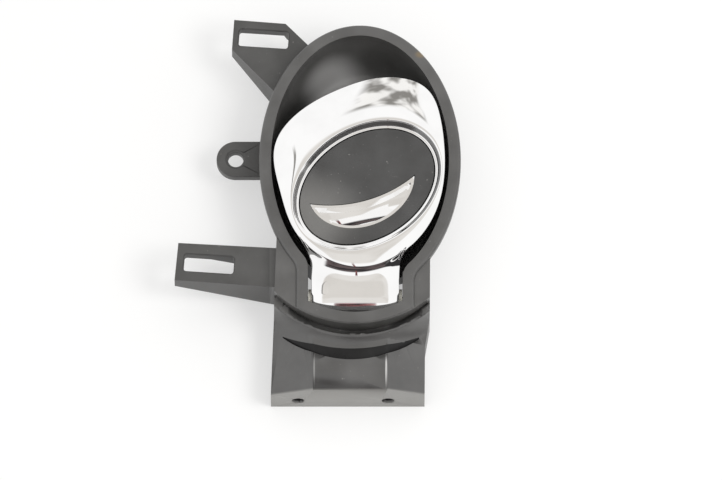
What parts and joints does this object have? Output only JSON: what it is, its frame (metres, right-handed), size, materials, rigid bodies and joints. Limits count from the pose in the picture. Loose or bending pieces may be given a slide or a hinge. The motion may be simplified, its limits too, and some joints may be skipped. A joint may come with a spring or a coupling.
{
  "type": "interior door handle",
  "caption": "Oval bowl door handle for a car's inside door panel, with a hinged bright release lever, an oval lock knob set into it, and slotted fixing brackets.",
  "frame": {"origin": "centre of the rim oval, on the flat back of the bowl that the handle lies on", "axes": "+X towards the closed side, away from the brackets; +Y from the hinge to the far end of the bowl; +Z out of the front, towards the hand"},
  "size_m": [0.1204, 0.1672, 0.035],
  "materials": {
    "housing_plastic": "fine satin grain",
    "plated_plastic": "bright chrome plating on moulded plastic",
    "black_plastic": "satin",
    "plate_plastic": "fine satin grain",
    "nylon": "natural nylon",
    "rubber": "matt",
    "steel": "zinc plated",
    "spring_steel": "spring steel"
  },
  "bodies": {
    "housing": {"housing": "housing_plastic", "cable_block": "housing_plastic", "upper_bracket": "housing_plastic", "lower_bracket": "housing_plastic", "fixing_tab": "housing_plastic", "hinge_pin": "steel", "pin_retaining_ring": "spring_steel", "spring_sleeve": "nylon", "pin_spacer": "nylon", "lock_wave_washer": "spring_steel", "bump_stop_left": "rubber", "bump_stop_right": "rubber", "lock_bump_stop": "rubber", "return_spring": "spring_steel"},
    "lever": {"lever_chrome_shell": "plated_plastic", "lever_carrier": "black_plastic", "lever_screws": "steel", "lever_bush_left": "nylon", "lever_bush_right": "nylon"},
    "lock_knob": {"lock_plate": "plate_plastic", "lock_scoop": "plated_plastic", "lock_arm": "black_plastic", "lock_bush": "nylon", "lock_screws": "steel"}
  },
  "joints": [
    {"name": "lever_hinge", "type": "hinge", "parent": "housing", "child": "lever", "pos_m": [-0.002, -0.061, 0.0192], "axis": [1, 0, 0], "range_deg": [0, 38], "stiffness_Nm_per_rad": 0.25, "springref_deg": -20.05, "deforming": ["return_spring"]},
    {"name": "lock_hinge", "type": "hinge", "parent": "housing", "child": "lock_knob", "pos_m": [-0.002, -0.061, 0.0192], "axis": [1, 0, 0], "range_deg": [0, 10]}
  ]
}
